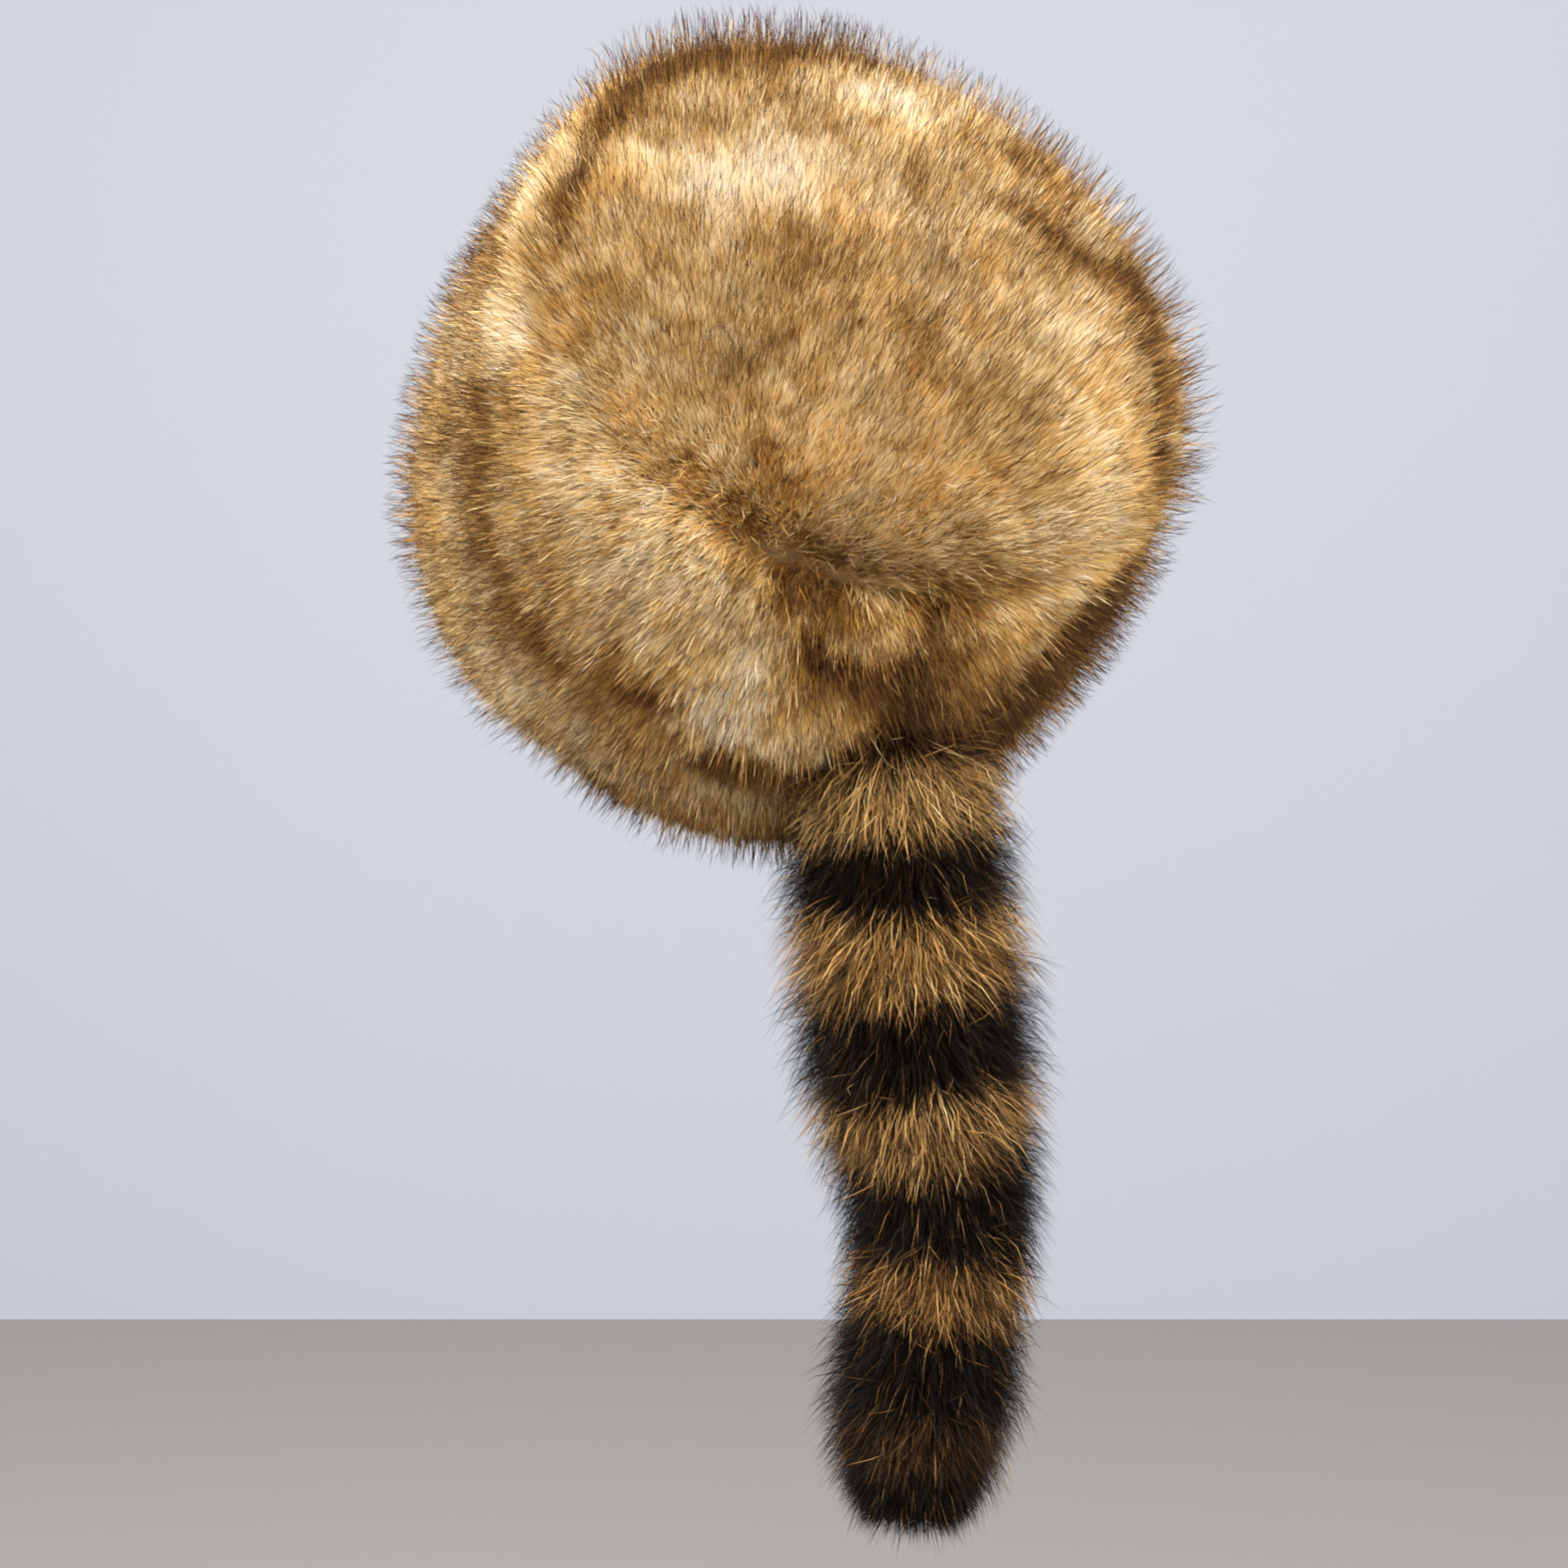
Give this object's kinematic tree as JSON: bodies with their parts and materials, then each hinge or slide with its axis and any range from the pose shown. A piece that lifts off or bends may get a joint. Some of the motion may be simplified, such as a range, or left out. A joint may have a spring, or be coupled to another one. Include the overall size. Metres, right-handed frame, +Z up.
{
  "type": "coonskin cap",
  "caption": "Round fur cap with a domed crown, a deep side band open below for the head, and a thick ringed fur tail hanging from its back.",
  "frame": {"origin": "middle of the head opening, in the plane of the cap's rim, where the cap sits on a head", "axes": "+Z up as the tail hangs, -Y towards the back of the cap, +X to the cap's side; the cap's own axis leans back 50 degrees from +Z towards -Y"},
  "size_m": [0.2729, 0.2915, 0.5554],
  "materials": {
    "hide": "tanned hide, matt flesh side",
    "band_fur": "deep cream and brown guard hair over underfur, soft sheen",
    "crown_fur": "deep golden tan guard hair over underfur, soft sheen",
    "tail_fur": "ringed black and tan long hair, soft sheen"
  },
  "bodies": {
    "root": {"band_hide": "hide", "crown_hide": "hide", "band_fur": "band_fur", "crown_fur": "crown_fur", "tail": "tail_fur"}
  },
  "joints": []
}
